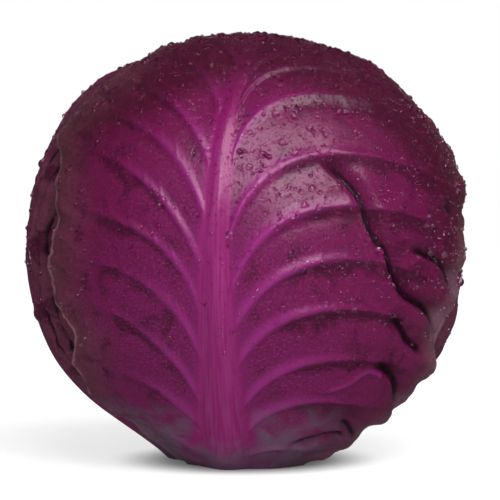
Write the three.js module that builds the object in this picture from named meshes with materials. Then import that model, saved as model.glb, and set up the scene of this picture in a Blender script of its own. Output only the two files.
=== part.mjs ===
// A head of red cabbage, stood on its cut stem end. Millimetres, +Z up.
// The origin is the middle of the stem's cut face. The outermost leaf faces -Y, and +X is on its right.
//
// The head is nearly a ball, so every leaf is drawn flat first, in arc millimetres from its own middle
// (x to the right, y up its midrib), and then wrapped on the ball. A leaf keeps the ball's outside where
// it shows, and sinks under the leaves that lie over it. Its grid of rows runs along its side veins,
// from the midrib to the margin, so that a few rows carry the ribs.

import * as THREE from "three";

const DEGREE = Math.PI / 180;

// The whole head.
const HEAD_RADIUS = 80;
const CENTRE_HEIGHT = 77.2;
const MIDDLE = new THREE.Vector3(0, 0, CENTRE_HEIGHT);

// The leaf bases stand out below the ball as a short foot, cut off level with the stem.
const FOOT_SWELL = 3.4;
const FOOT_ANGLE = 15 * DEGREE;
const FOOT_SPREAD = 7 * DEGREE;

// How the head's outline, seen from -Y, stands out from a circle: bearing from +X up to +Z, in degrees,
// and millimetres. The shoulders are full, the top is flat, and the lower left is pressed in.
const HEAD_PROFILE = [
  [-90, 0], [-70, 0], [-50, -1.2], [-30, 0.4], [-12, -0.8], [0, -1.6], [20, 1.3], [38, 0.6], [52, 0.8], [66, -0.8],
  [80, -2.1], [100, -2.0], [118, -1.1], [133, 1.3], [150, 0.5], [168, -0.6], [190, -1.0], [208, -0.6],
  [221, -2.0], [234, -4.2], [246, -2.6], [256, -0.4],
];

// Leaves. BLADE is the thickness of a blade, and GAP the air down to the next leaf.
const BLADE = 1.0;
const GAP = 1.05;
const LEAF_BASE_ANGLE = 11.5;
const SINK_FADE = 26;
const ROOM_FADE = 20;
const SHOW_FADE = 9;
const VEIN_HEIGHT = 0.8;
const VEIN_WIDTH = 3.0;
const STEP_HEIGHT = 1.5;
const HANDLE = 0.42;

// The cut stem and the tight inner leaves that it carries.
const STEM_RADIUS = 15;
const STEM_HEIGHT = 15;
const STEM_WAIST = 12.6;
const CONTACT_GAP = 0.3;
const INNER_LEAF_STEP = 1.1;

function clamp(value, low, high) {
  return Math.min(Math.max(value, low), high);
}

function smoothstep(low, high, value) {
  const s = clamp((value - low) / (high - low), 0, 1);
  return s * s * (3 - 2 * s);
}

// A smooth curve through [x, y] points, level past both ends.
function smoothCurve(points) {
  const last = points.length - 1;
  const slopes = points.map((point, i) => {
    const before = points[Math.max(i - 1, 0)];
    const after = points[Math.min(i + 1, last)];
    return (after[1] - before[1]) / (after[0] - before[0]);
  });
  return (x) => {
    if (x <= points[0][0]) return points[0][1];
    if (x >= points[last][0]) return points[last][1];
    let i = 0;
    while (x > points[i + 1][0]) i++;
    const [x0, y0] = points[i];
    const [x1, y1] = points[i + 1];
    const width = x1 - x0;
    const s = (x - x0) / width;
    const r = 1 - s;
    return (
      y0 * (1 + 2 * s) * r * r + width * slopes[i] * s * r * r +
      y1 * (3 - 2 * s) * s * s - width * slopes[i + 1] * s * s * r
    );
  };
}

// A closed outline through [degrees, millimetres] points, given once round from -90 degrees.
function closedOutline(points) {
  const before = points.slice(-3).map(([angle, reach]) => [angle - 360, reach]);
  const after = points.slice(0, 3).map(([angle, reach]) => [angle + 360, reach]);
  const curve = smoothCurve([...before, ...points, ...after]);
  return (angle) => curve(((((angle + 90) % 360) + 360) % 360) - 90);
}

// Two waves that run along a leaf's margin, as a frill: degrees of outline in, about -1 to 1 out.
function frillWave(angle, phase) {
  return 0.6 * Math.sin(angle * DEGREE * 17 + phase) + 0.4 * Math.sin(angle * DEGREE * 29 + 2.3 * phase);
}

// The front leaf, as the viewer sees it. Its right half is gathered in creases towards the margin.
// Each vein: height where it leaves the midrib, the way it leaves, its place on the outline, and the
// way it arrives there, with both ways in degrees above the outward horizontal.
const FRONT_LEAF = {
  name: "leaf_1_front",
  azimuth: 0,
  elevation: 4,
  outline: [
    [-90, 115], [-84, 116], [-76, 112], [-66, 115], [-50, 116], [-38, 113], [-30, 105], [-22, 94],
    [-12, 106], [0, 111], [14, 118], [30, 122], [50, 128], [70, 136], [90, 140], [108, 133], [118, 119],
    [126, 107], [136, 102], [144, 104], [152, 95], [163, 85], [172, 80], [184, 85], [198, 83], [208, 82],
    [216, 93], [224, 106], [236, 104], [246, 110], [256, 115], [264, 116],
  ],
  midrib: [[-115, -9], [-60, -10], [0, -11], [20, -10], [40, -8.5], [60, -5.5], [75, -2], [90, 1.5], [140, 6]],
  ribHalfWidth: [
    [-115, 14], [-100, 12.5], [-80, 9.8], [-62, 8], [-40, 6.4], [0, 4.9], [40, 4], [70, 3], [140, 1],
  ],
  ribHeight: [[-115, 2.6], [-100, 3.6], [-62, 2.6], [-20, 1.9], [40, 1.2], [90, 0.6], [140, 0.2]],
  left: [
    [-114, 10, 256, -10], [-104, 20, 247, -20], [-92, 40, 235, -15], [-72, 57, 213, -6], [-58, 70, 193, 0],
    [-39, 76, 180, 8], [-21, 75, 165, 18], [-4, 66, 149, 24], [14, 72, 138, 30], [33, 70, 127, 38],
    [56, 72, 115, 45], [80, 75, 105, 60], [105, 78, 98, 70], [139, 80, 92, 80],
  ],
  right: [
    [-114, 10, -84, -10], [-104, 15, -76, -15], [-92, 35, -64, -25], [-75, 66, -48, -45], [-62, 67, -35, -35],
    [-43, 66, -24, -30], [-28, 64, -13, -28], [-14, 72, 1, -15], [4, 76, 12, -12], [33, 76, 24, -12],
    [54, 76, 38, 0], [72, 65, 53, 15], [100, 70, 70, 40], [139, 80, 87, 80],
  ],
  frill: 1.6,
  frillPhase: 0.7,
  flare: 1.2,
  room: 4.2,
  creases: [
    {
      depth: 3.6,
      width: 3.4,
      route: [[26, 36], [35, 29], [44, 18], [48, 7], [57, -5], [63, -17], [78, -27], [84, -38]],
    },
    { depth: 2.6, width: 3.2, route: [[60, 2], [72, -1], [84, -5], [93, -11], [99, -24]] },
    { depth: 2.4, width: 3.0, route: [[84, 20], [93, 18], [99, 11], [105, 3]] },
    { depth: 2.6, width: 3.2, route: [[54, -26], [62, -30], [68, -38], [78, -46]] },
    { depth: 3.0, width: 3.2, route: [[48, -47], [58, -50], [66, -58], [72, -70], [76, -84]] },
    { depth: 2.0, width: 3.0, route: [[40, -73], [47, -82], [54, -94]] },
    { depth: 2.6, width: 3.2, route: [[16, -88], [28, -86], [38, -86], [47, -91]] },
  ],
  rowsPerVein: 3,
  bladeColumns: 14,
  ribColumns: 4,
};

// The other wrapper leaves share one habit. Heights up the midrib are shares of its length here.
const WRAPPER_OUTLINE = [
  [-90, 0], [-80, 0.5], [-66, 1], [-40, 1.5], [-15, 1.5], [10, 1.5], [32, 2], [52, 5], [72, 8], [90, 10],
];
const WRAPPER_VEINS = [
  [0, 10, -84, -10], [0.05, 25, -70, -15], [0.12, 45, -52, -12], [0.2, 55, -32, -5], [0.29, 60, -12, 0],
  [0.39, 62, 8, 8], [0.5, 63, 27, 18], [0.62, 64, 45, 30], [0.75, 66, 62, 45], [0.88, 70, 77, 62],
  [1, 80, 87, 80],
];

// A wrapper leaf from its place, its reach up to the tip and its reach to either side.
function wrapperLeaf({ name, azimuth, elevation, tip, side, lean, phase }) {
  const base = HEAD_RADIUS * (90 + elevation - LEAF_BASE_ANGLE) * DEGREE;
  const reachAt = (angle) => {
    const up = Math.sin(angle * DEGREE);
    const end = up < 0 ? base : tip;
    const round = side + (end - side) * Math.abs(up) ** 2.4;
    return round + 2.2 * Math.cos(angle * DEGREE) ** 2 * Math.sin(3 * angle * DEGREE + phase);
  };
  const angles = Array.from({ length: 24 }, (_, i) => -90 + 15 * i);
  const bend = (height) => lean * smoothstep(-base, tip, height);
  const rise = (share) => -base + 1 + (tip + base - 2) * share;
  const veins = (mirrored) =>
    WRAPPER_VEINS.map(([share, leaves, angle, arrives]) => [
      rise(share), leaves, mirrored ? 180 - angle : angle, arrives,
    ]);
  return {
    name,
    azimuth,
    elevation,
    outline: angles.map((angle) => [angle, reachAt(angle)]),
    midrib: [-base, -base / 2, 0, tip / 2, tip].map((height) => [height, bend(height)]),
    ribHalfWidth: [[-base, 11], [-base * 0.7, 8], [-base * 0.3, 5.5], [tip * 0.4, 3.5], [tip, 1]],
    ribHeight: [[-base, 1.5], [-base * 0.8, 3], [-base * 0.3, 1.9], [tip * 0.4, 1], [tip, 0.2]],
    left: veins(true),
    right: veins(false),
    frill: 1.5,
    frillPhase: phase,
    flare: 0.8,
    room: 0.6,
    creases: [],
    rowsPerVein: 2,
    bladeColumns: 9,
    ribColumns: 2,
  };
}

// Outermost first. Each next leaf grows about three eighths of a turn further round the stem.
const LEAVES = [
  FRONT_LEAF,
  wrapperLeaf({ name: "leaf_2", azimuth: 131, elevation: 6, tip: 127, side: 90, lean: 6, phase: 1.1 }),
  wrapperLeaf({ name: "leaf_3", azimuth: -94, elevation: 4, tip: 122, side: 88, lean: -5, phase: 2.6 }),
  wrapperLeaf({ name: "leaf_4", azimuth: 46, elevation: 8, tip: 121, side: 92, lean: 4, phase: 3.9 }),
  wrapperLeaf({ name: "leaf_5", azimuth: 184, elevation: 5, tip: 126, side: 90, lean: -4, phase: 5.2 }),
  wrapperLeaf({ name: "leaf_6", azimuth: -41, elevation: 8, tip: 119, side: 90, lean: 5, phase: 0.3 }),
];

// Makes a leaf's tables ready to be asked, and adds the three directions of its own frame.
function readyLeaf(leaf) {
  const azimuth = leaf.azimuth * DEGREE;
  const elevation = leaf.elevation * DEGREE;
  const column = (veins, number) => smoothCurve(veins.map((vein, row) => [row, vein[number]]));
  const side = (veins) => [0, 1, 2, 3].map((number) => column(veins, number));
  return {
    ...leaf,
    reach: closedOutline(leaf.outline),
    ribX: smoothCurve(leaf.midrib),
    ribHalf: smoothCurve(leaf.ribHalfWidth),
    ribRise: smoothCurve(leaf.ribHeight),
    veins: { left: side(leaf.left), right: side(leaf.right) },
    lastRow: leaf.left.length - 1,
    out: new THREE.Vector3(
      Math.sin(azimuth) * Math.cos(elevation), -Math.cos(azimuth) * Math.cos(elevation), Math.sin(elevation),
    ),
    across: new THREE.Vector3(Math.cos(azimuth), Math.sin(azimuth), 0),
    up: new THREE.Vector3(
      -Math.sin(azimuth) * Math.sin(elevation), Math.cos(azimuth) * Math.sin(elevation), Math.cos(elevation),
    ),
  };
}

const leaves = LEAVES.map(readyLeaf);

// The direction from the head's middle to a point of the flat leaf.
function wrap(leaf, x, y) {
  const far = Math.hypot(x, y);
  const angle = far / HEAD_RADIUS;
  const share = far > 1e-6 ? Math.sin(angle) / far : 1 / HEAD_RADIUS;
  return leaf.out.clone().multiplyScalar(Math.cos(angle))
    .addScaledVector(leaf.across, x * share)
    .addScaledVector(leaf.up, y * share);
}

// How far a direction lies outside a leaf's outline, in arc millimetres. Inside is negative.
function beyondOutline(leaf, direction) {
  const angle = Math.acos(clamp(direction.dot(leaf.out), -1, 1));
  const bearing = Math.atan2(direction.dot(leaf.up), direction.dot(leaf.across)) / DEGREE;
  return angle * HEAD_RADIUS - leaf.reach(bearing);
}

const headProfile = closedOutline(HEAD_PROFILE);

// The outside of the whole head, before the cut. Its profile fades towards the front and the back.
function headRadius(direction) {
  const fromBelow = Math.acos(clamp(-direction.z, -1, 1));
  const bearing = Math.atan2(direction.z, direction.x) / DEGREE;
  const foot = FOOT_SWELL * Math.exp(-(((fromBelow - FOOT_ANGLE) / FOOT_SPREAD) ** 2));
  return HEAD_RADIUS + foot + headProfile(bearing) * (1 - direction.y ** 2) ** 2;
}

// A radius held above the level of the cut.
function aboveCut(direction, radius) {
  return direction.z < 0 ? Math.min(radius, CENTRE_HEIGHT / -direction.z) : radius;
}

// How deep the leaves before number count push down what lies under them.
function sinkUnder(count, direction) {
  let depth = 0;
  for (const leaf of leaves.slice(0, count)) {
    const beyond = beyondOutline(leaf, direction);
    depth += (BLADE + GAP) * (1 - smoothstep(0, SINK_FADE, beyond));
    depth += leaf.room * (1 - smoothstep(-ROOM_FADE, 0, beyond));
  }
  return depth;
}

// 1 where a leaf shows, falling to 0 under the leaves over it.
function showing(count, direction) {
  let share = 1;
  for (const leaf of leaves.slice(0, count)) {
    share *= smoothstep(0, SHOW_FADE, beyondOutline(leaf, direction));
  }
  return share;
}

// A point of the flat leaf: t counts veins from the base, and w runs from the midrib's edge (0) to the
// margin (1).
function bladePoint(leaf, side, t, w) {
  const outward = side === "left" ? -1 : 1;
  const [rise, leaves, bearing, arrives] = leaf.veins[side].map((curve) => curve(t));
  const start = [leaf.ribX(rise) + outward * leaf.ribHalf(rise), rise];
  const reach = leaf.reach(bearing) + leaf.frill * frillWave(bearing, leaf.frillPhase);
  const end = [reach * Math.cos(bearing * DEGREE), reach * Math.sin(bearing * DEGREE)];
  const handle = HANDLE * Math.hypot(end[0] - start[0], end[1] - start[1]);
  return [0, 1].map((i) => {
    const turn = (angle) => (i === 0 ? outward * Math.cos(angle * DEGREE) : Math.sin(angle * DEGREE));
    const first = start[i] + handle * turn(leaves);
    const second = end[i] - handle * turn(arrives);
    const v = 1 - w;
    return v ** 3 * start[i] + 3 * v * v * w * first + 3 * v * w * w * second + w ** 3 * end[i];
  });
}

// The side veins: a narrow ridge on each, and a surface that falls away slowly above it.
function veinRelief(leaf, side, t, w) {
  if (t < 1 || t > leaf.lastRow - 0.2) return 0;
  const below = bladePoint(leaf, side, t - 0.1, w);
  const above = bladePoint(leaf, side, Math.min(t + 0.1, leaf.lastRow), w);
  const spacing = Math.hypot(above[0] - below[0], above[1] - below[1]) / 0.2;
  const offVein = Math.abs(t - Math.round(t)) * spacing;
  const part = t - Math.floor(t);
  const fade = smoothstep(0, 0.12, w) * (1 - smoothstep(0.6, 1, w));
  const step = STEP_HEIGHT * ((1 - part) + smoothstep(0.72, 1, part) * part - 0.5);
  const strength = side === "right" ? 1 : 0.6;
  return strength * fade * step + VEIN_HEIGHT * (1 - w) * Math.exp(-((offVein / VEIN_WIDTH) ** 2));
}

// How far a point lies from a route of straight stretches, and how far along it that is, from 0 to 1.
function alongRoute(route, x, y) {
  let nearest = Infinity;
  let along = 0;
  for (let i = 0; i < route.length - 1; i++) {
    const [ax, ay] = route[i];
    const [bx, by] = route[i + 1];
    const run = (bx - ax) ** 2 + (by - ay) ** 2;
    const share = clamp(((x - ax) * (bx - ax) + (y - ay) * (by - ay)) / run, 0, 1);
    const far = Math.hypot(x - ax - share * (bx - ax), y - ay - share * (by - ay));
    if (far < nearest) {
      nearest = far;
      along = (i + share) / (route.length - 1);
    }
  }
  return [nearest, along];
}

function creaseRelief(leaf, x, y) {
  let height = 0;
  for (const { depth, width, route } of leaf.creases) {
    const [off, along] = alongRoute(route, x, y);
    height -= depth * smoothstep(0, 0.3, along) * Math.exp(-((off / width) ** 2));
  }
  return height;
}

// Where a leaf's outer and inner faces lie at one place: both radii from the head's middle.
function faceRadii(leaf, index, x, y, ribbed, waved) {
  const direction = wrap(leaf, x, y);
  const seen = showing(index, direction);
  const skin = aboveCut(direction, headRadius(direction)) - sinkUnder(index, direction);
  const base = skin + seen * waved;
  const outer = aboveCut(direction, base + seen * ribbed);
  const inner = Math.min(base, outer) - BLADE;
  return { direction, outer, inner };
}

// One row of a leaf's grid from the left margin over the midrib to the right margin.
function leafRow(leaf, index, t) {
  const row = [];
  const add = (x, y, ribbed, waved) => row.push(faceRadii(leaf, index, x, y, ribbed, waved));
  const blade = (side, w) => {
    const [x, y] = bladePoint(leaf, side, t, w);
    const bearing = Math.atan2(y, x) / DEGREE;
    const flare = leaf.flare * smoothstep(0.75, 1, w) * (1 + frillWave(bearing * 1.3, leaf.frillPhase + 1));
    add(x, y, 0, veinRelief(leaf, side, t, w) + creaseRelief(leaf, x, y) + flare);
  };
  for (let i = leaf.bladeColumns; i >= 0; i--) blade("left", i / leaf.bladeColumns);
  const from = bladePoint(leaf, "left", t, 0);
  const to = bladePoint(leaf, "right", t, 0);
  for (let i = 1; i < leaf.ribColumns; i++) {
    const share = i / leaf.ribColumns;
    const y = from[1] + (to[1] - from[1]) * share;
    add(from[0] + (to[0] - from[0]) * share, y, leaf.ribRise(y) * (1 - (2 * share - 1) ** 2), 0);
  }
  for (let i = 0; i <= leaf.bladeColumns; i++) blade("right", i / leaf.bladeColumns);
  return row;
}

// A closed solid from two like grids of points, outer and inner, joined round their rims.
function shellGeometry(rows) {
  const high = rows.length;
  const wide = rows[0].length;
  const positions = [];
  for (const face of ["outer", "inner"]) {
    for (const row of rows) {
      for (const point of row) {
        const place = point.direction.clone().multiplyScalar(point[face]).add(MIDDLE);
        positions.push(place.x, place.y, Math.max(place.z, 0));
      }
    }
  }
  const outer = (i, j) => i * wide + j;
  const inner = (i, j) => high * wide + i * wide + j;
  const triangles = [];
  for (let i = 0; i < high - 1; i++) {
    for (let j = 0; j < wide - 1; j++) {
      triangles.push(outer(i, j), outer(i, j + 1), outer(i + 1, j + 1));
      triangles.push(outer(i, j), outer(i + 1, j + 1), outer(i + 1, j));
      triangles.push(inner(i, j), inner(i + 1, j + 1), inner(i, j + 1));
      triangles.push(inner(i, j), inner(i + 1, j), inner(i + 1, j + 1));
    }
  }
  const rim = [];
  for (let j = 0; j < wide - 1; j++) rim.push([0, j]);
  for (let i = 0; i < high - 1; i++) rim.push([i, wide - 1]);
  for (let j = wide - 1; j > 0; j--) rim.push([high - 1, j]);
  for (let i = high - 1; i > 0; i--) rim.push([i, 0]);
  rim.forEach(([i, j], n) => {
    const [k, l] = rim[(n + 1) % rim.length];
    triangles.push(outer(i, j), inner(i, j), inner(k, l));
    triangles.push(outer(i, j), inner(k, l), outer(k, l));
  });
  const geometry = new THREE.BufferGeometry();
  geometry.setAttribute("position", new THREE.Float32BufferAttribute(positions, 3));
  geometry.setIndex(triangles);
  geometry.computeVertexNormals();
  return geometry;
}

function leafGeometry(leaf, index) {
  const count = leaf.lastRow * leaf.rowsPerVein;
  const rows = [];
  for (let i = 0; i <= count; i++) rows.push(leafRow(leaf, index, i / leaf.rowsPerVein));
  return shellGeometry(rows);
}

// The tight inner leaves: one ball under all the wrappers, with the margins of its own leaves in relief.
function innerHeadGeometry() {
  const geometry = new THREE.IcosahedronGeometry(1, 9);
  const position = geometry.getAttribute("position");
  const point = new THREE.Vector3();
  const innerLeaves = [5, 2, 0].map((number, i) => ({
    ...leaves[number],
    ...turned(leaves[number], 62 + 137 * i),
  }));
  for (let i = 0; i < position.count; i++) {
    const direction = point.fromBufferAttribute(position, i).normalize();
    let radius = headRadius(direction) - sinkUnder(leaves.length, direction);
    radius -= INNER_LEAF_STEP * innerLeaves.length;
    for (const leaf of innerLeaves) {
      radius += INNER_LEAF_STEP * (1 - smoothstep(-16, -8, beyondOutline(leaf, direction)));
    }
    if (direction.z < 0) radius = Math.min(radius, (CENTRE_HEIGHT - STEM_HEIGHT) / -direction.z);
    const place = direction.multiplyScalar(radius).add(MIDDLE);
    position.setXYZ(i, place.x, place.y, place.z);
  }
  geometry.deleteAttribute("normal");
  geometry.deleteAttribute("uv");
  geometry.computeVertexNormals();
  return geometry;
}

// A leaf's frame, turned round the stem.
function turned(leaf, degrees) {
  const axis = new THREE.Vector3(0, 0, 1);
  const turn = (vector) => vector.clone().applyAxisAngle(axis, degrees * DEGREE);
  return { out: turn(leaf.out), across: turn(leaf.across), up: turn(leaf.up) };
}

// The cut stem: a flat cut face below, a waist, and a flat top under the inner leaves.
function stemGeometry() {
  const top = STEM_HEIGHT - CONTACT_GAP;
  const profile = [
    [0, 0], [STEM_RADIUS - 1, 0], [STEM_RADIUS, 1.2], [STEM_WAIST, top * 0.55], [STEM_WAIST + 0.8, top], [0, top],
  ];
  return new THREE.LatheGeometry(profile.map(([x, y]) => new THREE.Vector2(x, y)), 28);
}

function material(colour, roughness) {
  return new THREE.MeshStandardMaterial({ color: colour, roughness, metalness: 0 });
}

const leafSkin = material("#64204c", 0.38);
const innerSkin = material("#7a3562", 0.45);
const stemFlesh = material("#d9cdbb", 0.7);

const cabbage = new THREE.Group();

function addPiece(name, geometry, look) {
  const mesh = new THREE.Mesh(geometry, look);
  mesh.name = name;
  cabbage.add(mesh);
  return mesh;
}

addPiece("cut_stem", stemGeometry(), stemFlesh).rotation.x = Math.PI / 2;
addPiece("inner_head", innerHeadGeometry(), innerSkin);
leaves.forEach((leaf, index) => addPiece(leaf.name, leafGeometry(leaf, index), leafSkin));

export default cabbage;
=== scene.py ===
"""A red cabbage head, dressed: its leaves with their veins and folds, the cut stem and the water drops.

Lengths are millimetres until a mesh is made. Each leaf is drawn flat in arc millimetres, x to the right and
y up its midrib, and wrapped on the nearly round head. The rows of its grid run along its side veins.
"""

import logging
import math
from dataclasses import dataclass, field
from enum import Enum

import bpy
import numpy as np
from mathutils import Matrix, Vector
from mathutils.bvhtree import BVHTree

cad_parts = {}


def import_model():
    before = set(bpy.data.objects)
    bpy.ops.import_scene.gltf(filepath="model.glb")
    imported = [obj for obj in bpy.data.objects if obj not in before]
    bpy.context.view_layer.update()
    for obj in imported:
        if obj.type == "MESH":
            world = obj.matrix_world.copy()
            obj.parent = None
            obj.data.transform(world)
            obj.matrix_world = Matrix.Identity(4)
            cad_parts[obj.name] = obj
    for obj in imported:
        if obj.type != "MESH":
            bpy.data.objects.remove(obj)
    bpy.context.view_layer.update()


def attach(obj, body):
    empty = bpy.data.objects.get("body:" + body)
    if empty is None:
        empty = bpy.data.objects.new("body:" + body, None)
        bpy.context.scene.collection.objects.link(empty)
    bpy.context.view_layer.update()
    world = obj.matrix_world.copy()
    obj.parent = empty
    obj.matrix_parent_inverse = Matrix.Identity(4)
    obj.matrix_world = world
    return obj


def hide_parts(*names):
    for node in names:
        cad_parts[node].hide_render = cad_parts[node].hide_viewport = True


LOG = logging.getLogger("red_cabbage")
MM = 0.001
DEGREE = math.pi / 180

Array = np.ndarray
Zone = tuple[float, float]
Item = bpy.types.Object
Material = bpy.types.Material
Socket = bpy.types.NodeSocket
Tree = bpy.types.NodeTree


class Side(Enum):
    """A half of a leaf, as seen from outside with its tip up. The value is the way out from the midrib."""

    LEFT = -1
    RIGHT = 1


def smoothstep(low: float, high: float, value: Array) -> Array:
    """Rises smoothly from 0 where the value is low to 1 where it is high."""
    share = np.clip((value - low) / (high - low), 0.0, 1.0)
    return share * share * (3.0 - 2.0 * share)


def fade(low: float, high: float, value: Array) -> Array:
    """Falls smoothly from 1 where the value is low to 0 where it is high."""
    return 1 - smoothstep(low, high, value)


def bump_at(offset: Array, width: float | Array) -> Array:
    """A bell of height 1 where offset is 0."""
    return np.exp(-((offset / width) ** 2))


class SmoothCurve:
    """A smooth curve through points, level past both ends."""

    def __init__(self, points: list[tuple[float, float]]) -> None:
        """Keeps the (x, y) pairs, with x rising, and works out a slope at each."""
        self.x, self.y = np.array(points, float).T
        before = np.maximum(np.arange(len(self.x)) - 1, 0)
        after = np.minimum(np.arange(len(self.x)) + 1, len(self.x) - 1)
        self.slope = (self.y[after] - self.y[before]) / (self.x[after] - self.x[before])

    def __call__(self, value: Array) -> Array:
        """The curve's height at each value."""
        x = np.clip(value, self.x[0], self.x[-1])
        i = np.clip(np.searchsorted(self.x, x, side="right") - 1, 0, len(self.x) - 2)
        width = self.x[i + 1] - self.x[i]
        s = (x - self.x[i]) / width
        r = 1 - s
        return (
            self.y[i] * (1 + 2 * s) * r * r
            + width * self.slope[i] * s * r * r
            + self.y[i + 1] * (3 - 2 * s) * s * s
            - width * self.slope[i + 1] * s * s * r
        )


class ClosedOutline:
    """A leaf's margin as reach over bearing, once round from -90 degrees."""

    def __init__(self, points: list[tuple[float, float]]) -> None:
        """Takes (bearing in degrees, reach in mm) pairs, the bearing rising from -90."""
        before = [(angle - 360, reach) for angle, reach in points[-3:]]
        after = [(angle + 360, reach) for angle, reach in points[:3]]
        self.curve = SmoothCurve([*before, *points, *after])

    def __call__(self, bearing: Array) -> Array:
        """The reach at each bearing in degrees."""
        return self.curve((bearing + 90) % 360 - 90)


def frill_wave(bearing: Array, phase: float) -> Array:
    """Two waves that run along a leaf's margin, about -1 to 1."""
    return 0.6 * np.sin(bearing * DEGREE * 17 + phase) + 0.4 * np.sin(bearing * DEGREE * 29 + 2.3 * phase)


def wave_noise(x: Array, y: Array, length: float, seed: int) -> Array:
    """Soft unevenness of about -1 to 1: seeded waves of about one length in mm, in mixed directions."""
    draw = np.random.default_rng(seed)
    total = np.zeros(np.broadcast(x, y).shape)
    for _ in range(12):
        turn, phase = draw.uniform(0, 2 * math.pi, 2)
        pace = 2 * math.pi / (length * draw.uniform(0.7, 1.5))
        total += np.sin(pace * (x * math.cos(turn) + y * math.sin(turn)) + phase)
    return total / 4.0


@dataclass(frozen=True)
class Crease:
    """A fold in a blade, drawn on the flat leaf in mm: steep on the side of its lip, easy on the other.

    A depth below 0 makes a ridge. The fold reaches its full depth after the share of its route in starts.
    """

    depth: float
    width: float
    route: tuple[tuple[float, float], ...]
    lip: float = 0.6
    starts: float = 0.3
    steep_share: float = 0.85
    easy_share: float = 1.35

    def smooth_route(self) -> Array:
        """The route with four short stretches for each of its own."""
        points = np.array(self.route, float)
        along = np.arange(len(points), dtype=float)
        fine = np.linspace(0, len(points) - 1, 4 * (len(points) - 1) + 1)
        return np.stack([SmoothCurve(list(zip(along, points[:, i])))(fine) for i in (0, 1)], axis=-1)

    def relief(self, x: Array, y: Array) -> tuple[Array, Array, Array]:
        """How the fold lifts and sinks the blade.

        Args:
            x: places across the flat leaf, in mm.
            y: places up it, in mm.

        Returns:
            The height in mm, how far each place is inside the fold, where the skin is painted dark as shade,
            and how near it is, both from 0 to 1.
        """
        points = self.smooth_route()
        nearest = np.full(x.shape, 1e9)
        side = np.zeros(x.shape)
        along = np.zeros(x.shape)
        for i, ((ax, ay), (bx, by)) in enumerate(zip(points[:-1], points[1:])):
            run = (bx - ax) ** 2 + (by - ay) ** 2
            share = np.clip(((x - ax) * (bx - ax) + (y - ay) * (by - ay)) / run, 0, 1)
            off_x, off_y = x - ax - share * (bx - ax), y - ay - share * (by - ay)
            far = np.hypot(off_x, off_y)
            closer = far < nearest
            nearest = np.where(closer, far, nearest)
            side = np.where(closer, np.sign((bx - ax) * off_y - (by - ay) * off_x), side)
            along = np.where(closer, (i + share) / (len(points) - 1), along)
        offset = -side * nearest
        strength = smoothstep(0, self.starts, along) * (1 - 0.6 * smoothstep(0.92, 1.0, along))
        groove = bump_at(offset, np.where(offset > 0, self.steep_share, self.easy_share) * self.width)
        lip = bump_at(offset - 2.0 * self.width, 1.4 * self.width)
        inside = strength * smoothstep(0.45, 1.0, groove) * (self.depth > 0)
        near = strength * bump_at(offset, 2 * self.width)
        return strength * (self.lip * lip - self.depth * groove), inside, near


@dataclass
class Head:
    """The outside of the whole head: nearly a ball, with a short foot cut off level at its stem.

    The profile is what its outline, as the photograph shows it, stands out from the ball, in mm over degrees.
    """

    radius: float = 80.0
    centre_height: float = 77.2
    foot_swell: float = 3.4
    foot_angle: float = 15 * DEGREE
    foot_spread: float = 7 * DEGREE
    profile: tuple[tuple[float, float], ...] = (
        (-90, 0), (-70, 0), (-50, -1.2), (-30, 0.4), (-12, -0.8), (0, -1.6), (20, 1.3), (38, 0.6), (52, 0.8),
        (66, -0.8), (80, -2.1), (100, -2.0), (118, -1.1), (133, 1.3), (150, 0.5), (168, -0.6), (190, -1.0),
        (208, -0.6), (221, -2.0), (234, -4.2), (246, -2.6), (256, -0.4),
    )

    def skin(self, direction: Array) -> Array:
        """The outside's distance from the head's middle, before the cut."""
        from_below = np.arccos(np.clip(-direction[..., 2], -1, 1))
        bearing = np.arctan2(direction[..., 2], direction[..., 0]) / DEGREE
        outline = ClosedOutline(list(self.profile))(bearing) * (1 - direction[..., 1] ** 2) ** 2
        swell = self.foot_swell * bump_at(from_below - self.foot_angle, self.foot_spread)
        return self.radius + outline + swell

    def above_cut(self, direction: Array, radius: Array) -> Array:
        """The radius, held above the level of the cut."""
        down = np.minimum(direction[..., 2], -1e-6)
        return np.where(direction[..., 2] < 0, np.minimum(radius, self.centre_height / -down), radius)

    def place(self, direction: Array, radius: Array) -> Array:
        """Points in mm from directions and distances, none below the cut."""
        points = direction * radius[..., None] + np.array([0, 0, self.centre_height])
        points[..., 2] = np.maximum(points[..., 2], 0)
        return points


HEAD = Head()
# A blade's thickness, and the gap under it.
BLADE = 1.0
GAP = 1.05
# How far past a leaf's margin the next leaf is level with it, how far inside it the room for its waves is
# full, and how far past it the next leaf's own waves are full.
SINK_FADE = 26
ROOM_FADE = 20
SHOW_FADE = 9
# The length of a vein's curve handles, as a share of its chord.
HANDLE = 0.42


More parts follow.
